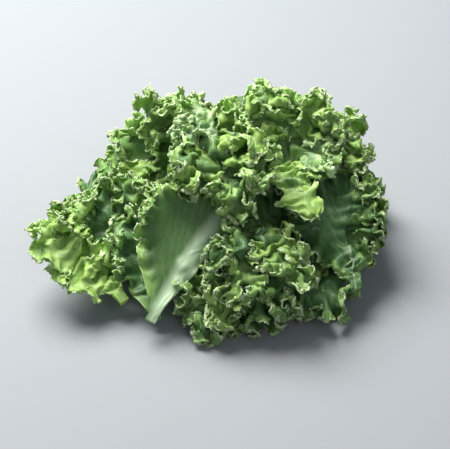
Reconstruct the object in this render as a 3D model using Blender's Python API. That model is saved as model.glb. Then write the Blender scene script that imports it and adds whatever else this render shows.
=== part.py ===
"""Kale bunch: a loose heap of cut curly kale leaves, modelled in metres, +Z up.

Every leaf is one closed solid: a blade that is cupped across its midrib, thick along
the rib and thin at the margin, on the stub of a cut stalk. The leaves are laid one
after the other, those at the back first, and each is lifted clear of the ones it
covers. The heap stands on z = 0 with the middle of its box at x = 0 and y = 0.
"""
import math

import bpy
import numpy as np
from mathutils import Vector
from mathutils.bvhtree import BVHTree

MM = 0.001

ROWS = 13                       # stations along a leaf
COLUMNS = (-1.0, -0.74, -0.46, -0.17, 0.0, 0.17, 0.46, 0.74, 1.0)

STALK_SHARE = 0.10              # part of the length that is bare stalk
STALK_HALF_WIDTH = 3.6 * MM
TIP_SHARE = 0.6                 # half-width left at the tip's row
TIP_ROUNDING = 0.10             # how far the margin lags behind the rib at the tip

MARGIN_THICKNESS = 1.0 * MM
RIB_THICKNESS = 2.6 * MM        # added under the rib at the stalk, fading to the tip
RIB_SPREAD = 5.0 * MM
STALK_THICKNESS = 2.0 * MM      # added again over the stalk itself

WAVE_COUNT = 2.5                # slow waves along each margin
GAP = 0.9 * MM                  # clear space between a leaf and those beneath it
BACK_SIDE = Vector((0.0, 1.0, 1.0)).normalized()    # the side the back is laid from
FRONT_SIDE = Vector((0.0, -1.0, 1.0)).normalized()  # the side the front is laid from
SMOOTHING_ROUNDS = 2
PROBE = 1 / 3                   # spacing of the probing rays, in rows and columns
LAYING_ROUNDS = 12
GLANCE = 0.35                   # least slope used when a gap is turned into a lift
FAR = 0.5

# One row a leaf, in the order in which they are laid, in millimetres: name, cut end,
# middle of the rib, tip, the way the blade faces at its two ends, half-width on its
# left and right, cupping on its left and right in degrees, height of the slow waves.
BACK_LEAVES = (
    ("leaf_skirt_left", (-14, 12, 24), (-42, 42, 23), (-62, 64, 5),
     (-0.1, 0.0, 1.0), (-0.4, 0.7, 0.6), 34, 34, -10, -10, 4),
    ("leaf_skirt_right", (26, 10, 26), (58, 40, 25), (80, 60, 5),
     (0.1, 0.0, 1.0), (0.4, 0.7, 0.6), 36, 36, -10, -10, 4),
    ("leaf_skirt_middle", (4, 14, 26), (8, 54, 27), (10, 84, 5),
     (0.0, 0.0, 1.0), (0.0, 0.8, 0.6), 36, 36, -10, -10, 4),
    ("leaf_fall_far_left", (-54, 12, 38), (-76, 22, 31), (-92, 28, 10),
     (-0.3, 0.2, 0.9), (-0.8, 0.5, 0.3), 24, 24, -15, -15, 3),
    ("leaf_fall_far_right", (68, 20, 42), (88, 34, 34), (98, 42, 10),
     (0.3, 0.2, 0.9), (0.8, 0.5, 0.3), 26, 26, -15, -15, 3),
    ("leaf_fall_left", (-24, 38, 54), (-36, 56, 46), (-44, 70, 22),
     (-0.1, 0.2, 1.0), (-0.3, 0.8, 0.4), 30, 30, -15, -15, 4),
    ("leaf_fall_right", (42, 36, 58), (50, 56, 52), (58, 72, 24),
     (0.1, 0.2, 1.0), (0.3, 0.8, 0.4), 32, 32, -15, -15, 4),
    ("leaf_fall_middle", (6, 40, 60), (8, 62, 54), (6, 80, 30),
     (0.0, 0.2, 1.0), (0.0, 0.9, 0.4), 32, 32, -15, -15, 4),
)

FRONT_LEAVES = (
    ("leaf_under_left", (-8, -30, 5), (-48, -8, 6), (-92, 8, 20),
     (0.0, 0.0, 1.0), (0.2, -0.2, 1.0), 34, 34, 10, 25, 3),
    ("leaf_under_right", (18, -28, 5), (58, -8, 6), (92, 8, 20),
     (0.0, 0.0, 1.0), (-0.2, -0.2, 1.0), 32, 32, 25, 10, 3),
    ("leaf_right_edge", (78, -46, 8), (91, -26, 22), (98, 0, 46),
     (-0.1, -0.3, 0.9), (-0.6, -0.4, 0.6), 17, 15, 30, 30, 3),
    ("leaf_back_corner", (62, -20, 14), (80, 10, 36), (88, 28, 62),
     (-0.1, -0.6, 0.8), (-0.2, -0.6, 0.7), 22, 22, 30, 30, 2),
    ("leaf_left_back", (-20, -11, 18), (-40, 22, 44), (-50, 41, 70),
     (0.1, -0.6, 0.8), (0.1, -0.6, 0.8), 30, 30, 30, 30, 3),
    ("leaf_back_left", (-8, -10, 20), (-16, 28, 46), (-22, 42, 90),
     (0.0, -0.7, 0.7), (0.0, -0.8, 0.6), 28, 28, 30, 30, 3),
    ("leaf_back_middle", (6, -14, 24), (9, 20, 48), (12, 34, 88),
     (0.0, -0.7, 0.7), (0.0, -0.8, 0.6), 28, 28, 30, 30, 3),
    ("leaf_top_right", (52, -22, 20), (68, 10, 44), (71, 34, 78),
     (0.0, -0.7, 0.7), (-0.1, -0.8, 0.6), 26, 26, 30, 30, 3),
    ("leaf_low_front", (14, -28, 14), (16, -60, 10), (12, -85, 4),
     (0.0, -0.2, 1.0), (0.0, -0.5, 0.9), 36, 36, 10, 10, 3),
    ("leaf_low_right", (50, -34, 20), (64, -56, 15), (68, -78, 9),
     (0.0, -0.4, 0.9), (0.0, -0.6, 0.8), 24, 24, 15, 10, 3),
    ("leaf_heart_right", (30, -52, 12), (36, -26, 32), (38, -6, 54),
     (0.0, -0.8, 0.6), (0.0, -0.7, 0.7), 30, 30, 25, 25, 2),
    ("leaf_heart_left", (-4, -56, 12), (2, -38, 26), (6, -20, 46),
     (0.0, -0.7, 0.7), (0.0, -0.7, 0.7), 30, 30, 25, 25, 2),
    ("leaf_low_left", (6, -38, 24), (-1, -68, 18), (-10, -82, 6),
     (0.0, -0.6, 0.8), (0.0, -0.8, 0.6), 17, 24, 15, 15, 3),
    ("leaf_left_rim", (-34, -38, 18), (-64, -20, 34), (-84, -9, 45),
     (0.1, -0.6, 0.8), (0.1, -0.6, 0.8), 25, 32, 20, 30, 4),
    ("leaf_left_cup", (-36, -79, 8), (-45, -44, 30), (-51, -18, 46),
     (0.2, -0.8, 0.5), (0.1, -0.8, 0.6), 21, 26, 40, 30, 2),
    ("leaf_left_tip", (-56, -69, 15), (-84, -46, 30), (-112, -38, 48),
     (0.3, -0.5, 0.8), (0.1, -0.5, 0.8), 22, 14, 22, 12, 2),
    ("leaf_right_cup", (88, -52, 8), (84, -20, 32), (79, 12, 54),
     (-0.3, -0.7, 0.7), (-0.3, -0.7, 0.7), 42, 24, 60, 40, 2),
    ("leaf_back_right", (48, -14, 46), (50, 14, 70), (47, 34, 96),
     (0.0, -0.7, 0.7), (0.0, -0.8, 0.6), 34, 30, 35, 35, 4),
    ("leaf_front_curl", (30, -24, 38), (29, -60, 46), (24, -83, 15),
     (0.0, -0.2, 1.0), (0.0, -0.9, 0.3), 24, 32, -20, -20, 5),
    ("leaf_folded", (-40, -85, 14), (-10, -45, 45), (22, -18, 70),
     (-0.2, -0.8, 0.5), (-0.1, -0.7, 0.7), 44, 14, 45, -85, 2),
    ("leaf_top_drape", (14, 24, 70), (6, -7, 87), (0, -33, 67),
     (0.0, -0.2, 1.0), (0.0, -0.8, 0.5), 30, 30, 10, 10, 4),
)

LEAF_COLOURS = ((0.045, 0.135, 0.022), (0.075, 0.19, 0.03), (0.11, 0.25, 0.04))


def unit(vectors):
    """Vectors scaled to length one."""
    return vectors / np.linalg.norm(vectors, axis=-1, keepdims=True)


def rib_curve(cut_end, middle, tip):
    """Points, directions and share of length along a rib through three points."""
    cut_end, middle, tip = (np.array(p, float) * MM for p in (cut_end, middle, tip))
    pull = 2.0 * middle - 0.5 * (cut_end + tip)
    t = np.linspace(0.0, 1.0, 200)[:, None]
    fine = (1 - t) ** 2 * cut_end + 2 * t * (1 - t) * pull + t ** 2 * tip
    way = unit(2 * (1 - t) * (pull - cut_end) + 2 * t * (tip - pull))
    run = np.concatenate([[0.0], np.cumsum(np.linalg.norm(np.diff(fine, axis=0), axis=1))])
    return fine, way, run


def half_width(share, full):
    """Half-width of the blade at a share of the leaf's length."""
    q = np.clip((share - STALK_SHARE) / (1.0 - STALK_SHARE), 0.0, 1.0)
    rise = np.sin(0.5 * math.pi * np.clip(q / 0.5, 0.0, 1.0))
    fall = 1.0 - (1.0 - TIP_SHARE) * np.clip((q - 0.6) / 0.4, 0.0, 1.0) ** 1.5
    return STALK_HALF_WIDTH + (full - STALK_HALF_WIDTH) * rise * fall


def leaf_sheet(leaf):
    """Upper side of a leaf: points and normals, ROWS by len(COLUMNS)."""
    _, cut_end, middle, tip, face_low, face_high, left, right, cup_l, cup_r, wave = leaf
    fine, way, run = rib_curve(cut_end, middle, tip)
    share = np.linspace(0.0, 1.0, ROWS)
    points = np.zeros((ROWS, len(COLUMNS), 3))
    thickness = np.zeros((ROWS, len(COLUMNS)))
    for c, side in enumerate(COLUMNS):
        lag = 1.0 - TIP_ROUNDING * side ** 2 * share ** 2
        at = share * lag * run[-1]
        spot = np.stack([np.interp(at, run, fine[:, k]) for k in range(3)], axis=1)
        along = unit(np.stack([np.interp(at, run, way[:, k]) for k in range(3)], axis=1))
        face = ((1 - share)[:, None] * np.array(face_low)
                + share[:, None] * np.array(face_high))
        up = unit(face - (face * along).sum(1, keepdims=True) * along)
        across = np.cross(along, up)
        full = (right if side > 0 else left) * MM
        bend = math.radians(cup_r if side > 0 else cup_l)
        reach = abs(side) * half_width(share, full)
        turn = bend * reach / full
        out = reach * np.sinc(turn / math.pi)
        lift = reach * np.sinc(turn / (2 * math.pi)) * np.sin(turn / 2)
        lift += (wave * MM * abs(side) ** 3 * np.sin(math.pi * share)
                 * np.sin(2 * math.pi * WAVE_COUNT * share + (1.3 if side > 0 else 0.0)))
        points[:, c] = spot + across * np.sign(side) * out[:, None] + up * lift[:, None]
        rib = np.exp(-(reach / RIB_SPREAD) ** 2) * (1.0 - 0.75 * share)
        stalk = np.clip(1.0 - share / (2 * STALK_SHARE), 0.0, 1.0)
        thickness[:, c] = MARGIN_THICKNESS + RIB_THICKNESS * rib + STALK_THICKNESS * stalk
    return points, thickness


def sheet_normals(points):
    """Unit normals of a sheet on its upper side."""
    return unit(np.cross(np.gradient(points, axis=1), np.gradient(points, axis=0)))


def stiff_rows(field, take=np.mean):
    """A row's own values, taking one value all across where the leaf is a stalk."""
    share = np.linspace(0.0, 1.0, ROWS).reshape((ROWS,) + (1,) * (field.ndim - 1))
    stiff = np.clip(2.0 - share / STALK_SHARE, 0.0, 1.0)
    return (1 - stiff) * field + stiff * take(field, axis=1, keepdims=True)


def spread(field):
    """Each cell takes the largest value around it, then the field is smoothed."""
    rows, cols = field.shape
    for step in range(1 + SMOOTHING_ROUNDS):
        padded = np.pad(field, 1, mode="edge")
        around = [padded[i:i + rows, j:j + cols] for i in range(3) for j in range(3)]
        field = np.max(around, axis=0) if step == 0 else np.mean(around, axis=0)
    return field


def between(field, row, col):
    """Value of a sheet's field between its rows and columns."""
    r, c = min(int(row), ROWS - 2), min(int(col), len(COLUMNS) - 2)
    f, g = row - r, col - c
    return ((1 - f) * ((1 - g) * field[r, c] + g * field[r, c + 1])
            + f * ((1 - g) * field[r + 1, c] + g * field[r + 1, c + 1]))


def lay_over(points, thickness, laid, open_side):
    """Lift a sheet towards its open side until it clears every leaf laid before it."""
    side = np.array(open_side)
    most = 0.0
    for _ in range(LAYING_ROUNDS if laid else 0):
        slope = np.clip(np.abs(sheet_normals(points) @ side), GLANCE, 1.0)
        need = (thickness + GAP) / slope
        lift = np.zeros(thickness.shape)
        for row in np.arange(0, ROWS - 1 + PROBE, PROBE):
            for col in np.arange(0, len(COLUMNS) - 1 + PROBE, PROBE):
                start = Vector(between(points, row, col)) + open_side * FAR
                hit, _, _, distance = laid.ray_cast(start, -open_side)
                if hit is None:
                    continue
                short = FAR - distance + between(need, row, col)
                r, c = min(int(row), ROWS - 2), min(int(col), len(COLUMNS) - 2)
                patch = lift[r:r + 2, c:c + 2]
                lift[r:r + 2, c:c + 2] = np.maximum(patch, short)
        if lift.max() <= 0.0:
            break
        most = max(most, lift.max())
        lift = stiff_rows(np.maximum(spread(lift), lift), np.max)
        points = points + lift[..., None] * side
    return points, most


def closed_shell(points, thickness):
    """Vertices and faces of the leaf: upper skin, lower skin and the rim between."""
    normals = unit(stiff_rows(sheet_normals(points)))
    lower = points - normals * thickness[..., None]
    lower[..., 2] = np.maximum(lower[..., 2], 0.0)
    rows, cols = thickness.shape
    vertices = np.concatenate([points.reshape(-1, 3), lower.reshape(-1, 3)])
    under = rows * cols
    faces = []
    for r in range(rows - 1):
        for c in range(cols - 1):
            a, b = r * cols + c, r * cols + c + 1
            d, e = a + cols, b + cols
            faces += [(a, b, e), (a, e, d)]
            faces += [(under + a, under + e, under + b), (under + a, under + d, under + e)]
    edge = [c for c in range(cols)]
    edge += [r * cols + cols - 1 for r in range(1, rows)]
    edge += [(rows - 1) * cols + c for c in range(cols - 2, -1, -1)]
    edge += [r * cols for r in range(rows - 2, 0, -1)]
    for here, there in zip(edge, edge[1:] + edge[:1]):
        faces.append((there, here, under + here, under + there))
    return vertices, faces


def one_tree(shells):
    """Search tree over the faces of all the leaves laid so far."""
    vertices, faces = [], []
    for _, points, leaf_faces in shells:
        start = len(vertices)
        vertices.extend(points.tolist())
        faces.extend(tuple(start + k for k in face) for face in leaf_faces)
    return BVHTree.FromPolygons(vertices, faces)


def leaf_material(name, colour):
    """Plain green skin for one kind of leaf."""
    material = bpy.data.materials.new(name)
    material.use_nodes = True
    skin = material.node_tree.nodes["Principled BSDF"]
    skin.inputs["Base Color"].default_value = (*colour, 1.0)
    skin.inputs["Roughness"].default_value = 0.5
    material.diffuse_color = (*colour, 1.0)
    return material


def build():
    """Lay all leaves, centre the heap over the origin and make one object each."""
    for old in list(bpy.data.objects):
        bpy.data.objects.remove(old, do_unlink=True)
    materials = [leaf_material(f"kale_skin_{k + 1}", c) for k, c in enumerate(LEAF_COLOURS)]
    laid = None
    shells = []
    order = [(BACK_SIDE, leaf) for leaf in BACK_LEAVES]
    order += [(FRONT_SIDE, leaf) for leaf in FRONT_LEAVES]
    for open_side, leaf in order:
        points, thickness = leaf_sheet(leaf)
        points[..., 2] = np.maximum(points[..., 2], thickness)
        points, most = lay_over(points, thickness, laid, open_side)
        print(f"{leaf[0]}: lifted by up to {most / MM:.1f} mm")
        vertices, faces = closed_shell(points, thickness)
        shells.append((leaf[0], vertices, faces))
        laid = one_tree(shells)
    every = np.concatenate([vertices for _, vertices, _ in shells])
    low, high = every.min(axis=0), every.max(axis=0)
    shift = np.array([(low[0] + high[0]) / 2, (low[1] + high[1]) / 2, low[2]])
    print("heap measures", np.round((high - low) / MM, 1), "mm")
    for index, (name, vertices, faces) in enumerate(shells):
        mesh = bpy.data.meshes.new(name)
        mesh.from_pydata((vertices - shift).tolist(), [], faces)
        mesh.shade_smooth()
        mesh.materials.append(materials[index % len(materials)])
        leaf_object = bpy.data.objects.new(name, mesh)
        bpy.context.scene.collection.objects.link(leaf_object)


build()
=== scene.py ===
# %% [markdown]
# # A heap of curly kale
# Kale is a cabbage whose leaves don't make a head. The middle of a leaf stays nearly
# smooth, while the margin keeps growing after the middle has stopped. There is then too
# much margin for the space it has, and it buckles into frills, and the frills frill
# again. No brush makes that as well as the plant does, so the leaves here are grown:
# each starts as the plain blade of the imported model, and its margin is made longer.

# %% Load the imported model
import math

import bmesh
import bpy
import numpy as np
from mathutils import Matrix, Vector
from mathutils.kdtree import KDTree


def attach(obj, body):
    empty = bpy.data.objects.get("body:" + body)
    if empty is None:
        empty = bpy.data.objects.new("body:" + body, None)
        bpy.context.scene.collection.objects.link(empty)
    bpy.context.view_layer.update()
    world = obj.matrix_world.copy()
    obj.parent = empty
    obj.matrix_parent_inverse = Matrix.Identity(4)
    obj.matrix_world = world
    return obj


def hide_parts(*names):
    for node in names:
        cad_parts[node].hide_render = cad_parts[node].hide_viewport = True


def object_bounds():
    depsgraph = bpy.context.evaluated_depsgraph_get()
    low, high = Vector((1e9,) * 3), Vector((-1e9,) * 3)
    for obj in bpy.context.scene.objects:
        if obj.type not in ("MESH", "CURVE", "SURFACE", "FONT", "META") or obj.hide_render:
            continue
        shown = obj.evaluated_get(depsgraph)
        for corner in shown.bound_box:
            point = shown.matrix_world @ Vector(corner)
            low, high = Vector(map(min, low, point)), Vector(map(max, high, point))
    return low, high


MM = 0.001

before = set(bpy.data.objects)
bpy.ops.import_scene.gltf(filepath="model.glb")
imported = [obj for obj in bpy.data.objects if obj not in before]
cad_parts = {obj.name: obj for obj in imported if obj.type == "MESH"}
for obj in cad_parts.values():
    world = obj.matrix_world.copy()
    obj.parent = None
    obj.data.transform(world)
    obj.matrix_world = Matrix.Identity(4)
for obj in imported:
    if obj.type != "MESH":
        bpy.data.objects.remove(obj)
bpy.ops.object.select_all(action="DESELECT")
cad_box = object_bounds()
leaf_nodes = sorted(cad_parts)
print(len(leaf_nodes), "leaves, heap", [round(s / MM, 1) for s in cad_box[1] - cad_box[0]], "mm")

# %% [markdown]
# ## Reading the blades
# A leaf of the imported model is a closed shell: an upper skin, a lower skin and a rim
# round them. Both skins are grids of 13 rows by 9 columns whose squares are all cut
# along the same diagonal. That makes the grid easy to read back from a merged copy. The
# flat end of the cut stalk is found first, because it joins the rest at a sharp edge.
# Its upper and lower edges are the first rows of the two skins, and each next row is
# reached by stepping from triangle to triangle.

# %% Find the end of the stalk
ROWS, COLUMNS = 13, 9


def merged_copy(node):
    """The node's own triangles with their shared corners joined, as a bmesh."""
    shell = bmesh.new()
    shell.from_mesh(node.data)
    bmesh.ops.remove_doubles(shell, verts=shell.verts, dist=0.01 * MM)
    return shell


def smooth_parts(shell, sharp):
    """Groups of faces that join one another at less than the sharp angle."""
    waiting, parts = set(shell.faces), []
    while waiting:
        part = [waiting.pop()]
        for face in part:
            for edge in face.edges:
                if edge.calc_face_angle(math.pi) < sharp:
                    for other in edge.link_faces:
                        if other in waiting:
                            waiting.remove(other)
                            part.append(other)
        parts.append(part)
    return parts


def chain(edges, start):
    """The vertices along a line of edges, from one end."""
    line = [start]
    while True:
        ahead = [e.other_vert(line[-1]) for e in edges if line[-1] in e.verts]
        ahead = [v for v in ahead if v not in line]
        if not ahead:
            return line
        line.append(ahead[0])


def stalk_end(shell):
    """Faces of the cut, and its two long edges as rows that start on the same side."""
    parts = [p for sharp in (75, 60, 45) for p in smooth_parts(shell, math.radians(sharp))]
    ends = [part for part in parts if len(part) == 2 * (COLUMNS - 1)]
    end = min(ends, key=lambda part: sum(face.calc_perimeter() for face in part))
    edges = {edge for face in end for edge in face.edges}
    edges = [e for e in edges if sum(face in end for face in e.link_faces) == 1]
    loop = chain(edges, edges[0].verts[0])

    def sides(k):
        """Length of the two edges k and k + COLUMNS, which are opposite."""
        return sum((loop[m].co - loop[(m + 1) % len(loop)].co).length
                   for m in (k, k + COLUMNS))

    turn = max(range(COLUMNS), key=sides) + 1
    loop = loop[turn:] + loop[:turn]
    return end, loop[:COLUMNS], loop[:COLUMNS - 1:-1]


# %% Step over a skin from its first row
def third(edge, used):
    """The unused face at an edge and its corner off the edge, or nothing."""
    for face in edge.link_faces:
        if face not in used:
            used.add(face)
            return [v for v in face.verts if v not in edge.verts][0]
    return None


def skin_rows(shell, first, end):
    """All rows of a skin, or nothing if its squares are cut the other way."""
    rows, used = [first], set(end)
    for _ in range(ROWS - 1):
        row = [None] * COLUMNS
        for c in range(COLUMNS - 1):
            near, beside = rows[-1][c], rows[-1][c + 1]
            across = third(shell.edges.get((near, beside)), used)
            diagonal = across and shell.edges.get((near, across))
            ahead = diagonal and third(diagonal, used)
            if not ahead or row[c] not in (None, ahead):
                return None
            row[c:c + 2] = ahead, across
        rows.append(row)
    return rows


def blade_grid(node):
    """The upper skin of a leaf as an array of ROWS x COLUMNS points."""
    shell = merged_copy(node)
    end, one, two = stalk_end(shell)
    choices = []
    for turn in (1, -1):
        skins = [skin_rows(shell, row[::turn], end) for row in (one, two)]
        if all(skins):
            grids = [np.array([[v.co[:] for v in row] for row in rows]) for rows in skins]
            apart = np.linalg.norm(grids[0] - grids[1], axis=-1).mean()
            choices.append((apart, turn, skins, grids))
    _, _, skins, grids = min(choices, key=lambda choice: choice[0])
    near, beside = skins[0][0][:2]
    face = [f for f in shell.edges.get((near, beside)).link_faces if f not in end][0]
    winding = list(face.verts)
    upper = winding[(winding.index(near) + 1) % 3] == beside
    shell.free()
    return grids[0 if upper else 1]


blades = {name: blade_grid(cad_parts[name]) for name in leaf_nodes}
for name in leaf_nodes:
    rib = np.linalg.norm(np.diff(blades[name][:, 4], axis=0), axis=1).sum()
    print(f"{name}: rib {rib / MM:.0f} mm")

# %% [markdown]
# ## Even sheets
# Growing needs small and even squares, so each blade is sampled again along smooth
# curves through its points, about 2.5 mm apart. Every point remembers where it is on
# the leaf: how far from the cut and from the rib, and how deep inside the margin.

# %% Sample the blades
SPACING = 2.5 * MM
BARE_STALK = 0.16                # share of the rib that has no frill beside it
FINER = 6                        # points on the margin for each point of the sheet


def through(points, places, axis):
    """Points at fractional places along one axis of an array, on Catmull-Rom curves."""
    points = np.moveaxis(points, axis, 0)
    ends = 2 * points[:1] - points[1:2], 2 * points[-1:] - points[-2:-1]
    points = np.concatenate([ends[0], points, ends[1]])
    whole = np.minimum(places.astype(int), len(points) - 4)
    t = (places - whole).reshape((-1,) + (1,) * (points.ndim - 1))
    a, b, c, d = (points[whole + k] for k in range(4))
    out = b + 0.5 * t * (c - a + t * (2 * a - 5 * b + 4 * c - d + t * (3 * (b - c) + d - a)))
    return np.moveaxis(out, 0, axis)


def lengths(points, axis):
    """Running length along one axis of a grid of points, starting at zero."""
    steps = np.linalg.norm(np.diff(points, axis=axis), axis=-1)
    zero = np.zeros_like(np.take(steps, [0], axis=axis))
    return np.concatenate([zero, np.cumsum(steps, axis=axis)], axis=axis)


def even_places(points, axis, count):
    """Fractional places along one axis that lie at even lengths on average."""
    running = lengths(points, axis)
    share = (running / np.take(running, [-1], axis=axis)).mean(axis=1 - axis)
    return np.interp(np.linspace(0, 1, count), share, np.arange(len(share)))


def even_sheet(blade):
    """A finer grid over a blade, with the facts that each point carries."""
    rows = round(lengths(blade, 0)[-1, 4] / SPACING) + 1
    columns = round(lengths(blade, 1)[6:9, -1].mean() / SPACING) + 1
    sheet = through(blade, even_places(blade, 0, rows), 0)
    sheet = through(sheet, even_places(sheet, 1, columns), 1)
    middle = even_places(blade, 1, columns)
    rib = int(np.abs(middle - 4).argmin())
    widths = lengths(sheet, 1)
    from_rib = widths - widths[:, rib:rib + 1]
    from_cut = np.repeat(lengths(sheet, 0)[:, rib:rib + 1], columns, axis=1)
    first = int(BARE_STALK * rows)
    margin = np.concatenate([sheet[first:, 0], sheet[-1], sheet[first:, -1]])
    margin = through(margin, np.linspace(0, len(margin) - 1, FINER * len(margin)), 0)
    tree = KDTree(len(margin))
    for k, point in enumerate(margin):
        tree.insert(point, k)
    tree.balance()
    depth = [tree.find(point)[2] for point in sheet.reshape(-1, 3)]
    return sheet, from_rib.ravel(), from_cut.ravel(), np.array(depth)


# %% [markdown]
# Two more facts say how a leaf may differ from its neighbours. A stalk never frills, and
# neither does the side of the large leaf in front that is folded under. That side shows
# its waxy underside, so it has the grey bloom, whose colour is lightened as painted light
# on that shaded band. All facts ride along as attributes of the mesh, and they steer the
# growth, the veins and the colours.

# %% Where a leaf may frill, and where it is grey
FOLDED = "leaf_folded"           # its right side is folded under and stays smooth
TIGHT = "leaf_left_tip"          # its left side hangs low and frills less
LATE = (FOLDED, "leaf_left_cup")
FRILLS_START = 0.10              # share of the rib where the margin begins to frill
LATE_START = 0.22                # the same for the leaves that frill late
FRILLS_FULL = 0.20               # share of the rib over which the frills set in
SOFT = 5 * MM                    # half of the width in which one side turns into the other
TIGHT_SHARE = 0.6                # of the freedom that the other side has


def freedom(name, from_rib, from_cut):
    """How freely each point may grow: not on the stalk, nor on a side folded under."""
    share = from_cut / from_cut.max()
    free = np.clip((share - (LATE_START if name in LATE else FRILLS_START)) / FRILLS_FULL, 0, 1)
    if name == FOLDED:
        free *= np.clip((-SOFT - from_rib) / (2 * SOFT), 0, 1)
    if name == TIGHT:
        free *= TIGHT_SHARE + (1 - TIGHT_SHARE) * np.clip((SOFT + from_rib) / (2 * SOFT), 0, 1)
    return free


def bloom_with_painted_light(name, from_rib):
    """How much of the grey bloom, lightened as painted light, shows: all of it on the side that is
    folded under.
    """
    return np.clip((from_rib + SOFT) / SOFT, 0, 1) * (name == FOLDED)


# %% Keep facts with the points
def set_fact(mesh, name, values):
    """Store one number a vertex."""
    fact = mesh.attributes.get(name) or mesh.attributes.new(name, "FLOAT", "POINT")
    fact.data.foreach_set("value", np.asarray(values, np.float32))


def get_fact(mesh, name):
    """Read one number a vertex."""
    values = np.empty(len(mesh.vertices), np.float32)
    mesh.attributes[name].data.foreach_get("value", values)
    return values.astype(float)


def vertex_vectors(mesh, what):
    """Places ("co") or normals ("normal") of all vertices as an array."""
    values = np.empty(3 * len(mesh.vertices), np.float32)
    mesh.vertices.foreach_get(what, values)
    return values.reshape(-1, 3).astype(float)


def place_vertices(mesh, places):
    """Move all vertices of a mesh."""
    mesh.vertices.foreach_set("co", places.astype(np.float32).ravel())
    mesh.update()


points, squares = [], []
facts = {key: [] for key in ("from_rib", "from_cut", "depth", "leaf", "freedom", "bloom_with_painted_light",
                             "painted_sun", "along")}


def add_sheet(name, blade, from_stalk=0.0, calm=0.0, grey=0.0, painted_sun=0.0):
    """Sample a blade or lobe and add it to the heap, with the facts of its points."""
    sheet, from_rib, from_cut, depth = even_sheet(blade)
    rows, columns = sheet.shape[:2]
    index = np.arange(rows * columns).reshape(rows, columns) + len(points)
    squares.extend(np.stack([index[:-1, :-1], index[:-1, 1:], index[1:, 1:], index[1:, :-1]],
                            axis=-1).reshape(-1, 4).tolist())
    points.extend(sheet.reshape(-1, 3).tolist())
    share = from_cut / from_cut.max()
    for key, value in (("from_rib", from_rib), ("from_cut", from_cut), ("depth", depth),
                       ("leaf", np.full(rows * columns, leaf_nodes.index(name))),
                       ("freedom", (1 - calm) * freedom(name, from_rib, from_cut)),
                       ("bloom_with_painted_light", np.maximum(bloom_with_painted_light(name, from_rib), grey)),
                       ("painted_sun", np.full(rows * columns, painted_sun)),
                       ("along", from_stalk + (1 - from_stalk) * share)):
        facts[key].extend(value)


# Whole leaves painted light and yellowish where they stand in the light: painted sunlight and glow.
PAINTED_SUNLIT_LEAVES = {"leaf_left_tip": 0.5, "leaf_top_right": 0.8, "leaf_back_corner": 0.5}
for name in leaf_nodes:
    add_sheet(name, blades[name], painted_sun=PAINTED_SUNLIT_LEAVES.get(name, 0.0))
print("the blades are sampled at", len(points), "points")

# %% [markdown]
# ## Lobes
# The blade of curly kale isn't one sheet. It is cut into lobes that overlap like tiles,
# each with a frilled margin of its own, so that a whole leaf can look like one frill.
# The leaves whose upper side is open get such lobes. They stand on either side of the
# rib in turn and lean outward and towards the tip. Some lobes are painted light and
# yellowish, as painted sunlight on lobes that stand in the light, and some on high leaves
# get the grey bloom, whose colour is lightened as painted light. Both make the heap
# livelier than one green would.

# %% Lobes on the open leaves
LOBE_LENGTH = 23 * MM
LOBE_HALF_WIDTH = 11.5 * MM
LOBE_FOOT = 0.35                 # share of the width that is left where a lobe starts
LOBE_ROUND = 0.15                # how far its corners stay behind its tip, against its length
LOBE_START = 0.5 * MM            # above the blade
LOBE_RISE = 6 * MM               # above the blade's tangent at the lobe's own tip
LOBE_DROOP = 60 * MM             # radius in which a lobe bends down again
LOBE_ALONG = 0.7                 # a lobe is as thin as the outer part of a blade
LOBE_FIRST, LOBE_RANGE = 0.22, 0.55  # places along the rib, as shares of it
LOBE_ASIDE = 0.42                # share of the half-width
LOBE_LEAN = 70                   # degrees, for a lobe on the very margin
# Lobes on leaves this high may get the bloom, whose colour is lightened as painted light.
HIGH = 50 * MM                   # leaves whose middle is above this may be grey
LOBE_SKINS = ((0.0, 0.7), (0.35, 0.0), (0.0, 0.2), (0.0, 0.5), (0.0, 0.0))  # grey, sunny
# How many lobes stand on a leaf.
LOBES = {"leaf_front_curl": 6, "leaf_top_drape": 5, "leaf_back_right": 5, "leaf_left_rim": 3,
         "leaf_left_tip": 1, "leaf_top_right": 2, "leaf_back_left": 3, "leaf_left_back": 2,
         "leaf_low_right": 1, "leaf_low_left": 1, "leaf_low_front": 2, "leaf_skirt_left": 2,
         "leaf_skirt_middle": 3, "leaf_skirt_right": 3, "leaf_fall_right": 2}
# Single lobes that stay flatter: leaf, place along and aside, lean, greyness (the bloom, lightened as
# painted light), sunniness (painted sunlight).
FLAT_CALM = 0.55
FLAT_LOBES = (
    ("leaf_back_right", 0.13, 0.15, 135, 0.0, 0.6),
    ("leaf_back_left", 0.60, 0.10, 25, 0.5, 0.0),
    ("leaf_back_middle", 0.72, 0.00, -10, 0.0, 0.8),
    ("leaf_back_right", 0.70, -0.60, -25, 0.0, 0.8),
    ("leaf_left_back", 0.45, -0.30, -35, 0.0, 0.8),
    ("leaf_left_tip", 0.55, -0.20, -15, 0.3, 0.8),
    ("leaf_top_right", 0.75, 0.20, 20, 0.4, 0.6),
)


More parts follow.
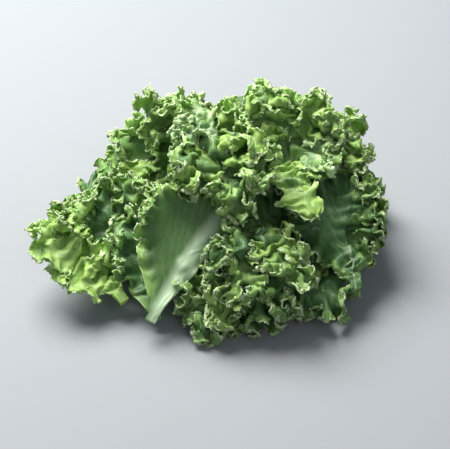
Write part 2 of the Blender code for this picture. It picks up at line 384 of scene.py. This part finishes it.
def lobe(blade, along, aside, lean):
    """A small blade that grows out of a place on a larger one."""
    row, column = along * (ROWS - 1), (COLUMNS - 1) * (0.5 + 0.5 * aside)
    near = through(blade, np.array([row, row + 0.1]), 0)
    near = through(near, np.array([column, column + 0.1]), 1)
    foot = near[0, 0]
    ahead, across = near[1, 0] - foot, near[0, 1] - foot
    ahead /= np.linalg.norm(ahead)
    up = np.cross(across, ahead)
    up /= np.linalg.norm(up)
    across = np.cross(ahead, up)
    way = math.cos(lean) * ahead + math.sin(lean) * across
    side = np.cross(way, up)
    y = np.linspace(0, LOBE_LENGTH, ROWS)[:, None, None]
    share = y / LOBE_LENGTH
    round_off = np.sin(math.pi * (0.15 + 0.75 * share))
    width = LOBE_HALF_WIDTH * (LOBE_FOOT + (1 - LOBE_FOOT) * round_off)
    x = width * np.linspace(-1, 1, COLUMNS)[None, :, None]
    lift = LOBE_START + LOBE_RISE * share - y ** 2 / (2 * LOBE_DROOP)
    behind = LOBE_ROUND * LOBE_LENGTH * share * (x / LOBE_HALF_WIDTH) ** 2
    return foot + way * (y - behind) + side * x + up * lift


for name, count in LOBES.items():
    for k in range(count):
        out = LOBE_ASIDE if k % 2 else -LOBE_ASIDE
        place = LOBE_FIRST + LOBE_RANGE * k / max(count - 1, 1)
        grey, painted_sun = LOBE_SKINS[k % len(LOBE_SKINS)]
        grey *= blades[name][:, :, 2].mean() > HIGH
        add_sheet(name, lobe(blades[name], place, out * (0.7 + 0.3 * (k % 3)),
                             math.radians(LOBE_LEAN * out)), LOBE_ALONG, 0.0, grey, painted_sun)
for name, along, aside, lean, grey, painted_sun in FLAT_LOBES:
    add_sheet(name, lobe(blades[name], along, aside, math.radians(lean)), LOBE_ALONG,
              FLAT_CALM, grey, painted_sun)
print(sum(LOBES.values()) + len(FLAT_LOBES), "lobes stand on the leaves")

# %% Put all sheets in one mesh
heap_mesh = bpy.data.meshes.new("growing_heap")
heap_mesh.from_pydata(points, [], squares)
for key, values in facts.items():
    set_fact(heap_mesh, key, values)
heap = bpy.data.objects.new("growing_heap", heap_mesh)
bpy.context.scene.collection.objects.link(heap)
bpy.context.view_layer.objects.active = heap
heap.select_set(True)
print("sheets have", len(points), "points and", len(squares), "squares")

# %% [markdown]
# ## Growth
# The sheet is a net of springs. Along the margin the springs are told to be longer than
# they are, and the net finds room by folding. A second set of rods, across each pair of
# squares, keeps folds from becoming creases. A weak hold on the starting place stands
# for the stiff blade behind the margin, and sets how wide the folds are. Points that
# come too near one another are pushed apart, whether they are on the same leaf or on
# two, and nothing may go under the table.

# %% Small tools for the net
rng = np.random.default_rng(7)


def summed(count, index, values):
    """Add up vectors that belong to the same vertex."""
    return np.stack([np.bincount(index, values[:, k], count) for k in range(3)], axis=1)


def edges_of(mesh):
    """Both ends of all edges."""
    ends = np.empty(2 * len(mesh.edges), np.int32)
    mesh.edges.foreach_get("vertices", ends)
    return ends.reshape(-1, 2)


def squares_of(mesh):
    """Corners of all four-sided faces."""
    corners = np.empty(len(mesh.loops), np.int32)
    mesh.loops.foreach_get("vertex_index", corners)
    start, total = np.empty((2, len(mesh.polygons)), np.int32)
    mesh.polygons.foreach_get("loop_start", start)
    mesh.polygons.foreach_get("loop_total", total)
    return corners[start[total == 4][:, None] + np.arange(4)]


def rods_of(four, count):
    """For each edge between two squares: the points across it, and the point between."""
    edges, across = [], []
    for k in range(4):
        a, b, c, d = (four[:, (k + m) % 4] for m in range(4))
        edges.append(np.stack([a, b], 1))
        across.append(np.stack([d, c], 1))
    edges, across = np.concatenate(edges), np.concatenate(across)
    turned = edges[:, 0] > edges[:, 1]
    edges[turned], across[turned] = edges[turned, ::-1], across[turned, ::-1]
    key = edges[:, 0].astype(np.int64) * count + edges[:, 1]
    order = np.argsort(key, kind="stable")
    twin = np.nonzero(np.diff(key[order]) == 0)[0]
    one, two = order[twin], order[twin + 1]
    ends = np.concatenate([np.stack([across[one, k], across[two, k]], 1) for k in (0, 1)])
    middle = np.concatenate([edges[one, k] for k in (0, 1)])
    return ends, middle


def close_pairs(places, radius):
    """All pairs of points nearer than the radius, found through a grid of cells."""
    cell = np.floor(places / radius).astype(np.int64)
    cell -= cell.min(axis=0) - 1
    size = cell.max(axis=0) + 2
    key = (cell[:, 0] * size[1] + cell[:, 1]) * size[2] + cell[:, 2]
    order = np.argsort(key, kind="stable")
    key = key[order]
    around = [(x, y, z) for x in (-1, 0, 1) for y in (-1, 0, 1) for z in (-1, 0, 1)]
    first, second = [], []
    for x, y, z in around[13:]:
        other = key + (x * size[1] + y) * size[2] + z
        low, high = np.searchsorted(key, other, "left"), np.searchsorted(key, other, "right")
        if (x, y, z) == (0, 0, 0):
            low = np.arange(len(key)) + 1
        many = np.maximum(high - low, 0)
        here = np.repeat(np.arange(len(key)), many)
        there = np.repeat(low - np.cumsum(many) + many, many) + np.arange(many.sum())
        here, there = order[here], order[there]
        near = ((places[here] - places[there]) ** 2).sum(axis=1) < radius * radius
        first.append(here[near])
        second.append(there[near])
    return np.concatenate(first), np.concatenate(second)


def ripples(x, wave, waves=16):
    """Smooth noise of about one wavelength at the places x, mostly within -1 to 1."""
    heading = rng.normal(size=(waves, 3))
    heading *= (2 * math.pi / wave * rng.uniform(0.75, 1.3, waves)
                / np.linalg.norm(heading, axis=1))[:, None]
    return np.sin(x @ heading.T + rng.uniform(0, 2 * math.pi, waves)).sum(axis=1) / waves ** 0.5


# %% The growing itself
ROOM = 6.5 * MM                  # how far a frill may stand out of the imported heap
room_low = np.array(cad_box[0]) - ROOM
room_high = np.array(cad_box[1]) + ROOM
room_low[2] = 0.6 * MM           # a sheet on the table still gets its thickness below
INERTIA = 0.85                   # share of a step that carries over into the next
PULL = 2.4                       # above 1, because each point has many springs
DIAGONAL = 0.5                   # stiffness of the springs across a square
STAY = 0.008                     # weak hold on the starting place, everywhere
HOLD = 0.6                       # strong hold on the calm middle of a blade
GROWN_BY = 0.7                   # share of the rounds in which the margin gets longer


def grow(mesh, reach, amount, rounds, wave, height, bend, apart=0.0, every=4):
    """Lengthen the margin of all leaves and let it buckle."""
    x = vertex_vectors(mesh, "co")
    start, normal, count = x.copy(), vertex_vectors(mesh, "normal"), len(x)
    depth, leaf = get_fact(mesh, "depth"), get_fact(mesh, "leaf")
    share = reach_share[leaf.astype(int)]
    weight = np.clip(1 - depth / (reach * share), 0, 1) ** 1.6
    weight *= get_fact(mesh, "freedom")
    edges, four = edges_of(mesh), squares_of(mesh)
    springs = np.concatenate([edges, four[:, [0, 2]], four[:, [1, 3]]])
    stiff = np.where(np.arange(len(springs)) < len(edges), 1.0, DIAGONAL)
    i, j = springs.T
    length = np.linalg.norm(x[i] - x[j], axis=1)
    outward = np.clip(np.abs(depth[i] - depth[j]) / length, 0, 1)
    more = amount * 0.5 * (weight[i] + weight[j]) * (1 - outward ** 2)
    ends, middle = rods_of(four, count)
    a, b = ends.T
    rod = np.linalg.norm(x[a] - x[middle], axis=1) + np.linalg.norm(x[b] - x[middle], axis=1)
    rod_more = 0.35 * amount * (weight[a] + weight[b])
    spring_count = np.bincount(springs.ravel(), minlength=count)[:, None]
    rod_count = np.maximum(np.bincount(ends.ravel(), minlength=count), 1)[:, None]
    hold = HOLD * np.clip((depth / share - 0.75 * reach) / (0.8 * reach), 0, 1) ** 1.5
    hold = np.maximum(hold, STAY)[:, None]
    x += normal * (height * ripples(x, wave) * weight)[:, None]
    speed = np.zeros_like(x)
    for step in range(rounds):
        grown = min(1.0, (step + 1) / (GROWN_BY * rounds))
        before = x
        x = x + INERTIA * speed
        for _ in range(2):
            gap = x[j] - x[i]
            now = np.linalg.norm(gap, axis=1)
            pull = (0.5 * stiff * (1 - length * (1 + more * grown) / now))[:, None] * gap
            x = x + PULL * (summed(count, i, pull) - summed(count, j, pull)) / spring_count
        gap = x[b] - x[a]
        now = np.linalg.norm(gap, axis=1)
        short = np.minimum(1 - bend * rod * (1 + rod_more * grown) / now, 0)
        pull = (0.5 * short)[:, None] * gap
        x = x + (summed(count, a, pull) - summed(count, b, pull)) / rod_count
        if apart and step % every == every - 1:
            p, q = close_pairs(x, apart)
            same = leaf[p] == leaf[q]
            keep = ~same | (np.linalg.norm(start[p] - start[q], axis=1) > 1.25 * apart)
            p, q = p[keep], q[keep]
            gap = x[q] - x[p]
            now = np.maximum(np.linalg.norm(gap, axis=1), 1e-9)
            pull = (0.5 * (1 - apart / now))[:, None] * gap
            touching = np.maximum(np.bincount(np.concatenate([p, q]), minlength=count), 1)
            x = x + (summed(count, p, pull) - summed(count, q, pull)) / touching[:, None]
        x = np.clip(x + hold * (start - x), room_low, room_high)
        speed = x - before
    place_vertices(mesh, x)
    print(f"grew {count} points over {rounds} rounds, most moved",
          round(np.linalg.norm(x - start, axis=1).max() / MM, 1), "mm")


# %% [markdown]
# ## Slow waves
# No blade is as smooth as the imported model. Slow waves are pushed into all of them
# first, and they are what shows on the calm blades in the end.

# %% Push slow waves into the sheets
SLOW_WAVE = 26 * MM
SLOW_HEIGHT = 0.9 * MM
wavy = vertex_vectors(heap_mesh, "co")
wavy += vertex_vectors(heap_mesh, "normal") * (SLOW_HEIGHT * ripples(wavy, SLOW_WAVE))[:, None]
place_vertices(heap_mesh, wavy)
print("slow waves", round(SLOW_WAVE / MM), "mm long and about", round(SLOW_HEIGHT / MM, 1), "mm high")

# %% [markdown]
# ## Frills on frills
# The first growth makes broad folds about 15 mm wide. The squares are then halved, and
# a second growth closer to the margin puts smaller folds on them. The margin is halved
# again for a third growth. Growth also stretches the squares along the margin, so edges
# that have become too long are cut in two. Both are left to the edit mode's own
# subdivide, because the calm middle of a leaf has points enough.

# %% Grow the lobes, then the smaller folds
reach_share = np.full(len(leaf_nodes), 1.2)
for name, share in (("leaf_folded", 0.5), ("leaf_right_cup", 0.8), ("leaf_left_cup", 0.8),
                    ("leaf_front_curl", 1.4), ("leaf_top_drape", 1.4), ("leaf_back_right", 1.3)):
    reach_share[leaf_nodes.index(name)] = share


def halve_margin(band):
    """Cut the squares in two both ways where they are nearer the margin than the band."""
    bands = get_fact(heap_mesh, "depth")[squares_of(heap_mesh)].min(axis=1) < band
    near_margin = np.zeros(len(heap_mesh.polygons), bool)
    sides = np.empty(len(heap_mesh.polygons), np.int32)
    heap_mesh.polygons.foreach_get("loop_total", sides)
    near_margin[sides == 4] = bands
    bpy.ops.object.mode_set(mode="EDIT")
    bpy.ops.mesh.select_mode(type="FACE")
    bpy.ops.mesh.select_all(action="DESELECT")
    bpy.ops.object.mode_set(mode="OBJECT")
    heap_mesh.polygons.foreach_set("select", near_margin)
    bpy.ops.object.mode_set(mode="EDIT")
    bpy.ops.mesh.subdivide(number_cuts=1, smoothness=1.0, quadcorner="INNERVERT")
    bpy.ops.object.mode_set(mode="OBJECT")
    print("halved the margin:", len(heap_mesh.polygons), "faces")


def cut_long(band, longest):
    """Cut in two the edges that are longer than a length and near the margin."""
    x, (i, j) = vertex_vectors(heap_mesh, "co"), edges_of(heap_mesh).T
    depth = get_fact(heap_mesh, "depth")
    far = np.linalg.norm(x[i] - x[j], axis=1) > longest
    bpy.ops.object.mode_set(mode="EDIT")
    bpy.ops.mesh.select_mode(type="EDGE")
    bpy.ops.mesh.select_all(action="DESELECT")
    bpy.ops.object.mode_set(mode="OBJECT")
    heap_mesh.edges.foreach_set("select", far & (np.minimum(depth[i], depth[j]) < band))
    bpy.ops.object.mode_set(mode="EDIT")
    bpy.ops.mesh.subdivide(number_cuts=1, smoothness=1.0)
    bpy.ops.object.mode_set(mode="OBJECT")
    print("cut long edges:", len(heap_mesh.polygons), "faces")


patience = 1.0
grow(heap_mesh, 27 * MM, 2.0, int(160 * patience), 18 * MM, 4 * MM, 0.55, apart=3.0 * MM)

halve = heap.modifiers.new("halve", "SUBSURF")
halve.levels = halve.render_levels = 1
bpy.ops.object.modifier_apply(modifier="halve")
cut_long(12 * MM, 2.4 * MM)
grow(heap_mesh, 12 * MM, 0.6, int(100 * patience), 9 * MM, 1.5 * MM, 0.75,
     apart=1.7 * MM, every=8)
halve_margin(3.5 * MM)
grow(heap_mesh, 5 * MM, 0.3, int(40 * patience), 5 * MM, 0.6 * MM, 0.85)
cut_long(1.8 * MM, 1.5 * MM)
cut_long(0.35 * MM, 0.9 * MM)

# %% [markdown]
# ## The crimped edge
# The outermost three millimetres are crimped more finely than growth on these squares
# can show, and they end in small teeth. Both are plain noise along the margin: the
# crimp pushes points across the blade, and the teeth pull them outward.

# %% Crimp and teeth
def crimp(mesh, band, height, wave, tooth, tooth_step):
    """Small waves and teeth on the margin."""
    x, normal = vertex_vectors(mesh, "co"), vertex_vectors(mesh, "normal")
    depth = get_fact(mesh, "depth")
    i, j = edges_of(mesh).T
    step = (x[j] - x[i]) * (depth[i] - depth[j])[:, None]
    outward = summed(len(x), i, step) + summed(len(x), j, step)
    outward /= np.maximum(np.linalg.norm(outward, axis=1, keepdims=True), 1e-12)
    near = np.clip(1 - depth / band, 0, 1) * np.minimum(2 * get_fact(mesh, "freedom"), 1)
    x += normal * (height * ripples(x, wave) * near)[:, None]
    sharp = np.clip(ripples(x, tooth_step) + 0.2, 0, 1.2)
    x += outward * (tooth * sharp * near ** 2)[:, None]
    place_vertices(mesh, np.clip(x, room_low, room_high))
    print("crimped", int((near > 0).sum()), "points near the margin")


crimp(heap_mesh, 3.0 * MM, 0.4 * MM, 3.2 * MM, 1.6 * MM, 2.8 * MM)

# %% [markdown]
# ## Body
# A blade is about half a millimetre thick. The rib under it is a stout rod at
# the stalk that thins out towards the tip. Solidify gives both at once when a vertex
# group says how thick each point is. The ribs of the lowest leaves would then reach
# below the table, so what is too low is pressed flat on it.

# %% Give the sheets a body
BODY = 5.0 * MM                  # thickness where the vertex group is full
TABLE_GAP = 0.05 * MM
THIN = 0.5 * MM                  # a bare blade
RIB_HEIGHT = 2.0 * MM            # what the rib adds at the stalk, and the stalk once more
RIB_SIDE = 2.4 * MM
STALK_SHARE = 0.16               # share of the rib where the stalk's own thickness ends
LEVELS = 50                      # steps of thickness, because a group is filled step by step
along = get_fact(heap_mesh, "along")
beside = get_fact(heap_mesh, "from_rib") / RIB_SIDE
rib = np.exp(-beside ** 2) * np.clip(1 - along, 0, 1) ** 1.2
stalk = np.clip((STALK_SHARE - along) / (STALK_SHARE / 2), 0, 1)
thick = THIN + RIB_HEIGHT * rib + RIB_HEIGHT * stalk
group = heap.vertex_groups.new(name="thick")
for level in range(1, LEVELS + 1):
    chosen = np.nonzero(np.round(LEVELS * thick / BODY) == level)[0]
    if len(chosen):
        group.add(chosen.tolist(), level / LEVELS, "REPLACE")
body = heap.modifiers.new("body", "SOLIDIFY")
body.thickness = BODY
body.offset = -1
body.vertex_group = "thick"
body.use_rim = True
body.material_offset = 1
body.material_offset_rim = 0
bpy.ops.object.modifier_apply(modifier="body")
pressed = vertex_vectors(heap_mesh, "co")
pressed[:, 2] = np.maximum(pressed[:, 2], TABLE_GAP)
place_vertices(heap_mesh, pressed)
heap_mesh.shade_smooth()
print("with a body", len(heap_mesh.polygons), "faces")

# %% [markdown]
# ## Leaf skin
# The upper side of kale is deep green between the veins and lighter on them. Its frills
# are younger and yellower than its middle, and the very edge is pale. The underside is
# duller and has a grey bloom, whose colour is lightened as painted light. Lobes and leaves
# that stand in the light are painted lighter and yellower as painted sunlight, and each
# leaf's tone paints the high and back leaves lighter and the low, front and inner ones
# darker. Leaves are thin enough to glow when lit from behind, so each skin lets some of
# the light through.

# %% Small helpers for shader nodes
def linked(tree, socket, value):
    """Feed a socket from another socket, or set it to a number or colour."""
    if isinstance(value, bpy.types.NodeSocket):
        tree.links.new(value, socket)
    else:
        socket.default_value = value


def maths(tree, operation, first, second=0.0, clamp=False):
    node = tree.nodes.new("ShaderNodeMath")
    node.operation, node.use_clamp = operation, clamp
    linked(tree, node.inputs[0], first)
    linked(tree, node.inputs[1], second)
    return node.outputs[0]


def spread(tree, value, low, high, to_low=0.0, to_high=1.0):
    """Smoothly turn low..high into to_low..to_high."""
    node = tree.nodes.new("ShaderNodeMapRange")
    node.interpolation_type = "SMOOTHSTEP"
    for k, number in enumerate((low, high, to_low, to_high)):
        node.inputs[k + 1].default_value = number
    linked(tree, node.inputs[0], value)
    return node.outputs[0]


def blend_colours(tree, share, first, second):
    node = tree.nodes.new("ShaderNodeMix")
    node.data_type = "RGBA"
    linked(tree, node.inputs["Factor"], share)
    linked(tree, node.inputs["A"], first)
    linked(tree, node.inputs["B"], second)
    return node.outputs["Result"]


def fact(tree, name):
    node = tree.nodes.new("ShaderNodeAttribute")
    node.attribute_name = name
    return node.outputs["Fac"]


def cloudy(tree, where, scale, detail=2.0):
    node = tree.nodes.new("ShaderNodeTexNoise")
    node.inputs["Scale"].default_value = scale
    node.inputs["Detail"].default_value = detail
    linked(tree, node.inputs["Vector"], where)
    return node.outputs["Fac"]


# %% [markdown]
# A leaf has a rib, side veins that leave it at even steps, and a fine net between them.
# The facts about a point's place make this simple. The distance from the cut, less a
# share of the distance from the rib, is the same all along a slanting side vein, so a
# repeating wave of that number draws all of them. Noise makes them wander, and they
# fade out towards the margin. Between two veins the blade swells a little.

# %% Where the veins run
VEIN_STEP = 11 * MM              # between side veins along the rib
VEIN_SLANT = 1.9                 # how much a side vein leans towards the tip
VEIN_WANDER = 22 * MM            # how far noise may push a side vein aside
RIB_EDGE = 0.3 * MM, 1.0 * MM    # the rib fades out between these distances from its middle
VEIN_EDGE = 0.25 * MM, 0.75 * MM  # and a side vein between these
VEIN_FADE = 6 * MM, 26 * MM      # side veins weaken between these distances from the rib
VEIN_END = 0.3                   # to this share
NET_SCALE = 230                  # cells of the fine net in a metre


def vein_map(tree):
    """Masks of the rib, the side veins, the fine net and the swell between the side
    veins, and the flat places of a leaf."""
    from_rib, from_cut = fact(tree, "from_rib"), fact(tree, "from_cut")
    flat = tree.nodes.new("ShaderNodeCombineXYZ")
    linked(tree, flat.inputs[0], from_rib)
    linked(tree, flat.inputs[1], from_cut)
    linked(tree, flat.inputs[2], fact(tree, "tone_and_painted_light"))
    flat = flat.outputs[0]
    out = maths(tree, "ABSOLUTE", from_rib)
    wander = maths(tree, "SUBTRACT", cloudy(tree, flat, 60), 0.5)
    wander = maths(tree, "MULTIPLY", wander, VEIN_WANDER)
    rib = maths(tree, "SUBTRACT", 1.0, spread(tree, out, *RIB_EDGE))
    rib = maths(tree, "MULTIPLY", rib, spread(tree, fact(tree, "along"), 0.7, 0.2))
    side = maths(tree, "MULTIPLY", maths(tree, "SIGN", from_rib), VEIN_STEP / 4)
    lag = maths(tree, "MULTIPLY", out, -VEIN_SLANT)
    phase = maths(tree, "ADD", maths(tree, "ADD", from_cut, lag), maths(tree, "ADD", side, wander))
    wave = maths(tree, "PINGPONG", phase, VEIN_STEP / 2)
    veins = maths(tree, "SUBTRACT", 1.0, spread(tree, wave, *VEIN_EDGE))
    fading = spread(tree, out, *VEIN_FADE, 1.0, VEIN_END)
    veins = maths(tree, "MULTIPLY", veins, fading)
    swell = maths(tree, "MULTIPLY", spread(tree, wave, 0.0, VEIN_STEP / 2), fading)
    net = tree.nodes.new("ShaderNodeTexVoronoi")
    net.feature = "DISTANCE_TO_EDGE"
    net.inputs["Scale"].default_value = NET_SCALE
    linked(tree, net.inputs["Vector"], flat)
    fine = maths(tree, "SUBTRACT", 1.0, spread(tree, net.outputs["Distance"], 0.02, 0.12))
    return rib, veins, fine, swell, flat


# %% The two skins of a leaf
# Bloom colour: the waxy bloom over green, made lighter as painted light on the folded band that lies
# in shade.
BLOOM_WITH_PAINTED_LIGHT = (0.64, 0.81, 0.56, 1)    # waxy bloom over green
# Painted sunlight: lobes and leaves that stand in the light are painted lighter and yellower.
PAINTED_SUNLIGHT = (0.50, 0.72, 0.17, 1)    # young lobes that stand in the light
INSIDE = (0.50, 0.85, 0.06, 1)   # what is left of white light that went through a leaf
BLOOM_WITH_LIGHT_SHARE = 0.9                # how much a full bloom hides
# how far a full painted sun lightens towards that colour
PAINTED_SUN_SHARE = 0.65                 # how much a full sun lightens
YOUNG_BAND = 9 * MM              # along the margin, where a blade is young
PATCHES = 1.1                    # how much young and old run into one another
NET_SHARE = 0.25                 # how much the fine net shows, against the side veins
RIB_SHARE = 0.3                  # how much the rib shows
EDGE_BAND = 0.7 * MM             # width of the pale edge
EDGE_SHARE = 0.6                 # how much it shows
BUMP = 0.5 * MM                  # height of what is raised
SWELL = 0.55                     # rise of a blade between two veins, against BUMP
GRAIN = 0.15                     # the same for its fine grain


def leaf_skin(name, deep, fresh, pale, rough, glow, vein_share, vein_height):
    """Skin of one side of a leaf, from the deep green of its middle to its pale edge."""
    material = bpy.data.materials.new(name)
    material.use_nodes = True
    tree = material.node_tree
    skin = tree.nodes["Principled BSDF"]
    rib, veins, fine, swell, flat = vein_map(tree)
    depth = fact(tree, "depth")
    young_and_painted_light = spread(tree, depth, YOUNG_BAND, 0.5 * MM)
    patches = maths(tree, "SUBTRACT", cloudy(tree, flat, 45, 3.0), 0.5)
    young_and_painted_light = maths(tree, "ADD", young_and_painted_light, maths(tree, "MULTIPLY", patches, PATCHES), clamp=True)
    # The leaf's tone adds painted light and shade: high and back leaves lighter, low, front and inner
    # ones darker.
    young_and_painted_light = maths(tree, "ADD", maths(tree, "MULTIPLY", young_and_painted_light, 0.8), fact(tree, "tone_and_painted_light"), clamp=True)
    colour = blend_colours(tree, young_and_painted_light, deep, fresh)
    lines = maths(tree, "MAXIMUM", veins, maths(tree, "MULTIPLY", fine, NET_SHARE))
    lines = maths(tree, "MULTIPLY", lines, vein_share)
    lines = maths(tree, "MAXIMUM", lines, maths(tree, "MULTIPLY", rib, RIB_SHARE))
    colour = blend_colours(tree, lines, colour, pale)
    # The bloom colour is waxy bloom lightened as painted light.
    grey = maths(tree, "MULTIPLY", fact(tree, "bloom_with_painted_light"), BLOOM_WITH_LIGHT_SHARE)
    colour = blend_colours(tree, grey, colour, BLOOM_WITH_PAINTED_LIGHT)
    # Painted sunlight on the lobes and leaves that stand in the light.
    painted_sun = maths(tree, "MULTIPLY", fact(tree, "painted_sun"), PAINTED_SUN_SHARE)
    colour = blend_colours(tree, painted_sun, colour, PAINTED_SUNLIGHT)
    edge = spread(tree, depth, EDGE_BAND, 0.0, 0.0, EDGE_SHARE)
    colour = blend_colours(tree, edge, colour, pale)
    linked(tree, skin.inputs["Base Color"], colour)
    skin.inputs["Roughness"].default_value = rough
    skin.inputs["Specular IOR Level"].default_value = 0.5
    grain = maths(tree, "MULTIPLY", cloudy(tree, flat, 900), GRAIN)
    raised = maths(tree, "ADD", maths(tree, "MULTIPLY", lines, vein_height), grain)
    raised = maths(tree, "ADD", maths(tree, "MULTIPLY", swell, SWELL), raised)
    bump = tree.nodes.new("ShaderNodeBump")
    bump.inputs["Strength"].default_value = 0.6
    bump.inputs["Distance"].default_value = BUMP
    linked(tree, bump.inputs["Height"], raised)
    linked(tree, skin.inputs["Normal"], bump.outputs[0])
    through_light = tree.nodes.new("ShaderNodeBsdfTranslucent")
    linked(tree, through_light.inputs["Color"], blend_colours(tree, 0.6, colour, INSIDE))
    linked(tree, through_light.inputs["Normal"], bump.outputs[0])
    both = tree.nodes.new("ShaderNodeMixShader")
    both.inputs[0].default_value = glow
    linked(tree, both.inputs[1], skin.outputs[0])
    linked(tree, both.inputs[2], through_light.outputs[0])
    linked(tree, tree.nodes["Material Output"].inputs[0], both.outputs[0])
    return material


upper_skin = leaf_skin("kale_upper_skin", (0.075, 0.190, 0.055, 1), (0.40, 0.64, 0.17, 1),
                       (0.94, 1.00, 0.74, 1), 0.46, 0.28, 0.14, -0.6)
under_skin = leaf_skin("kale_underside", (0.28, 0.42, 0.24, 1), (0.50, 0.70, 0.32, 1),
                       (0.92, 1.00, 0.74, 1), 0.50, 0.30, 0.30, 1.0)
print("two skins:", upper_skin.name, "and", under_skin.name)

# %% [markdown]
# ## One piece a leaf
# The heap was grown as one mesh, so that the leaves could feel one another. Now it is
# parted into its loose pieces, each named for its leaf, and each leaf gets a tone of
# its own: painted light and shade that makes the high and back leaves lighter and the
# low, front and inner ones darker, and a tone by chance on the rest.

# %% Part the heap into leaves
# Painted light and shade: above zero a leaf is painted lighter and yellower (the high and back
# leaves), below zero darker (the low, front and inner ones); the others vary by chance.
LIT_AND_SHADED_TONES = {"leaf_left_tip": 0.5, "leaf_top_right": 0.5, "leaf_back_corner": 0.35,
         "leaf_back_left": 0.25, "leaf_back_right": 0.2, "leaf_left_back": 0.2,
         "leaf_back_middle": 0.2, "leaf_folded": 0.1, "leaf_top_drape": 0.05,
         "leaf_left_rim": -0.05, "leaf_left_cup": -0.15, "leaf_low_left": -0.15,
         "leaf_low_front": -0.2, "leaf_front_curl": -0.22, "leaf_right_cup": -0.25,
         "leaf_low_right": -0.28, "leaf_heart_right": -0.3, "leaf_heart_left": -0.3}
by_chance = rng.uniform(-0.12, 0.12, len(leaf_nodes))
tone_and_shade_of = np.array([LIT_AND_SHADED_TONES.get(name, tone_and_painted_light) for name, tone_and_painted_light in zip(leaf_nodes, by_chance)])
set_fact(heap_mesh, "tone_and_painted_light", tone_and_shade_of[np.round(get_fact(heap_mesh, "leaf")).astype(int)])
heap_mesh.materials.append(upper_skin)
heap_mesh.materials.append(under_skin)
bpy.ops.object.mode_set(mode="EDIT")
bpy.ops.mesh.select_all(action="SELECT")
bpy.ops.mesh.separate(type="LOOSE")
bpy.ops.object.mode_set(mode="OBJECT")
loose = [[] for _ in leaf_nodes]
for part in bpy.context.selected_objects:
    loose[round(part.data.attributes["leaf"].data[0].value)].append(part)
leaves = []
for node, parts in zip(leaf_nodes, loose):
    bpy.ops.object.select_all(action="DESELECT")
    for part in parts:
        part.select_set(True)
    leaf_object = bpy.context.view_layer.objects.active = parts[0]
    if len(parts) > 1:
        bpy.ops.object.join()
    leaves.append(leaf_object)
    leaf_object.name = leaf_object.data.name = node.replace("leaf_", "kale_")
    leaf_object.vertex_groups.clear()
    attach(leaf_object, "root")
    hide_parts(node)
triangles = [sum(len(p.vertices) - 2 for p in o.data.polygons) for o in leaves]
print(len(leaves), "pieces with", sum(triangles), "triangles, at most", max(triangles))

# %% [markdown]
# ## The table, the light and the camera
# The heap lies on a pale table. A wide soft light stands high at the back left, as a
# window would, and a weak one fills from the front.

# %% Table
bpy.ops.object.select_all(action="DESELECT")
bpy.ops.mesh.primitive_plane_add(size=6, location=(0, 0, 0))
table = bpy.context.object
table.name = "table"
table_top = bpy.data.materials.new("pale_table")
table_top.use_nodes = True
table_skin = table_top.node_tree.nodes["Principled BSDF"]
table_skin.inputs["Base Color"].default_value = (0.290, 0.309, 0.327, 1)
table_skin.inputs["Roughness"].default_value = 0.8
table.data.materials.append(table_top)
print("the table is at height", table.location.z)

# %% Light
def soft_light(name, place, aim, size, power, colour):
    """A round soft light that faces a place."""
    light = bpy.data.lights.new(name, "AREA")
    light.shape, light.size, light.energy, light.color = "DISK", size, power, colour
    lamp = bpy.data.objects.new(name, light)
    lamp.location = place
    lamp.rotation_euler = (Vector(aim) - Vector(place)).to_track_quat("-Z", "Y").to_euler()
    bpy.context.scene.collection.objects.link(lamp)
    print(f"light {name}: {power} W, {size} m wide")


HEART = (0, 0, 30 * MM)          # what the lights face
soft_light("window", (-0.34, 0.48, 0.95), HEART, 0.8, 31.5, (1.0, 0.99, 0.96))
soft_light("fill", (0.5, -1.0, 1.2), HEART, 1.0, 2.7, (0.93, 0.97, 1.0))
world = bpy.data.worlds.new("room")
world.use_nodes = True
room_light = world.node_tree.nodes["Background"]
room_light.inputs["Color"].default_value = (0.86, 0.92, 1.0, 1)
room_light.inputs["Strength"].default_value = 0.22
bpy.context.scene.world = world
bpy.context.scene.view_settings.view_transform = "Standard"

# %% [markdown]
# The camera looks down on the heap at 45 degrees. A long lens from a metre away keeps
# the near leaves from looking larger than the far ones.

# %% Camera
AIM = Vector((9.8, -17.4, 33.6)) * MM
SLOPE = math.radians(45)
AWAY = 1.0
camera_data = bpy.data.cameras.new("camera")
camera_data.lens, camera_data.sensor_width = 125, 36
camera = bpy.data.objects.new("camera", camera_data)
camera.location = AIM + AWAY * Vector((0, -math.cos(SLOPE), math.sin(SLOPE)))
camera.rotation_euler = (math.pi / 2 - SLOPE, 0, 0)
bpy.context.scene.collection.objects.link(camera)
bpy.context.scene.camera = camera
print(f"the camera looks down at {math.degrees(SLOPE):.0f} degrees from {AWAY} m away")
